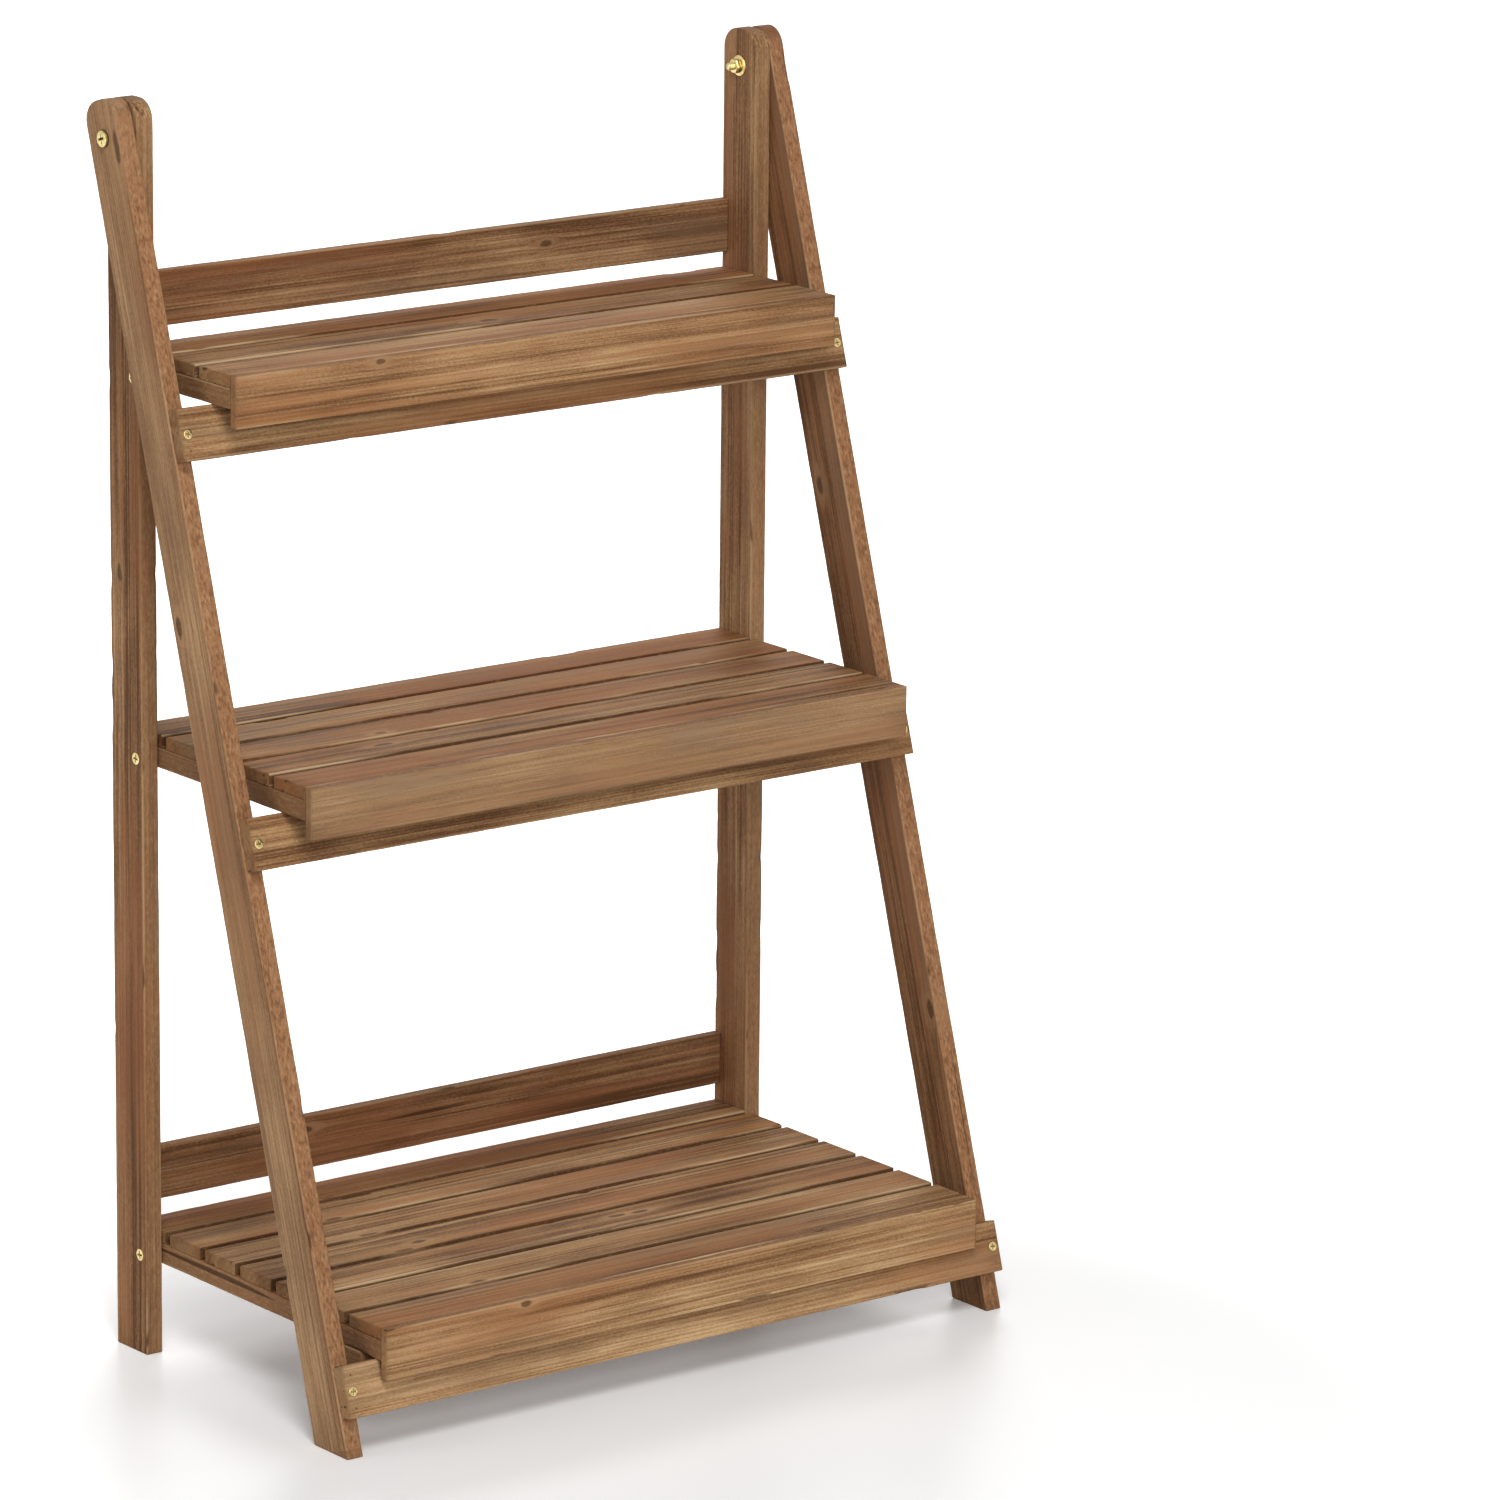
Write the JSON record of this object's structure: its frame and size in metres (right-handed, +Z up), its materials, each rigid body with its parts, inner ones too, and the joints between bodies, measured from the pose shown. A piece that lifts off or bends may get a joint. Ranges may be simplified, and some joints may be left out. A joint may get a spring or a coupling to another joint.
{
  "type": "folding tiered plant stand",
  "caption": "Folding wooden plant stand: slatted shelves of growing depth between an upright rear frame and a leaning front frame that swings on top bolts, so all folds flat.",
  "frame": {"origin": "on the floor, at the middle of the open stand's box", "axes": "+Z up, -Y to the front where the lower shelves reach out, +X to the right seen from the front"},
  "size_m": [0.6064, 0.3306, 0.9386],
  "materials": {
    "frame_wood": "stained, oiled, lengthwise grain",
    "slat_wood": "stained, oiled, streaked grain",
    "lip_wood": "stained light, oiled, straight grain",
    "yellow_zinc": "yellow-plated, satin"
  },
  "bodies": {
    "rear_frame": {"rear_leg_left": "frame_wood", "rear_leg_right": "frame_wood", "back_rail_upper": "frame_wood", "back_rail_lower": "frame_wood", "back_rail_brads": "yellow_zinc", "top_pivot_bolts": "yellow_zinc", "top_pivot_washers": "yellow_zinc", "top_pivot_nuts": "yellow_zinc", "shelf_pivot_bolts": "yellow_zinc", "shelf_pivot_nuts": "yellow_zinc"},
    "front_frame": {"front_leg_left": "frame_wood", "front_leg_right": "frame_wood", "front_rail_top": "frame_wood", "front_rail_middle": "frame_wood", "front_rail_bottom": "frame_wood", "front_rail_screws": "yellow_zinc", "front_rail_brads": "yellow_zinc"},
    "shelf_top": {"top_slat_1": "slat_wood", "top_slat_2": "slat_wood", "top_slat_3": "slat_wood", "top_lip": "lip_wood", "top_cleat_left": "frame_wood", "top_cleat_centre": "frame_wood", "top_cleat_right": "frame_wood", "top_shelf_brads": "yellow_zinc"},
    "shelf_middle": {"middle_slat_1": "slat_wood", "middle_slat_2": "slat_wood", "middle_slat_3": "slat_wood", "middle_slat_4": "slat_wood", "middle_slat_5": "slat_wood", "middle_lip": "lip_wood", "middle_cleat_left": "frame_wood", "middle_cleat_centre": "frame_wood", "middle_cleat_right": "frame_wood", "middle_shelf_brads": "yellow_zinc"},
    "shelf_bottom": {"bottom_slat_1": "slat_wood", "bottom_slat_2": "slat_wood", "bottom_slat_3": "slat_wood", "bottom_slat_4": "slat_wood", "bottom_slat_5": "slat_wood", "bottom_slat_6": "slat_wood", "bottom_slat_7": "slat_wood", "bottom_lip": "lip_wood", "bottom_cleat_left": "frame_wood", "bottom_cleat_centre": "frame_wood", "bottom_cleat_right": "frame_wood", "bottom_shelf_brads": "yellow_zinc", "stop_block_left": "frame_wood", "stop_block_right": "frame_wood", "stop_block_brads": "yellow_zinc"}
  },
  "joints": [
    {"name": "front_frame_fold", "type": "hinge", "parent": "rear_frame", "child": "front_frame", "pos_m": [0, 0.14197, 0.91], "axis": [1, 0, 0], "range_deg": [0, 17]},
    {"name": "shelf_top_lift", "type": "hinge", "parent": "rear_frame", "child": "shelf_top", "pos_m": [0, 0.13047, 0.7363], "axis": [-1, 0, 0], "range_deg": [0, 90]},
    {"name": "shelf_middle_lift", "type": "hinge", "parent": "rear_frame", "child": "shelf_middle", "pos_m": [0, 0.13047, 0.4538], "axis": [-1, 0, 0], "range_deg": [0, 90]},
    {"name": "shelf_bottom_lift", "type": "hinge", "parent": "rear_frame", "child": "shelf_bottom", "pos_m": [0, 0.13047, 0.0758], "axis": [-1, 0, 0], "range_deg": [0, 90]}
  ],
  "couplings": [
    {"joint": "shelf_bottom_lift", "follows": "front_frame_fold", "ratio": 5.294}
  ]
}
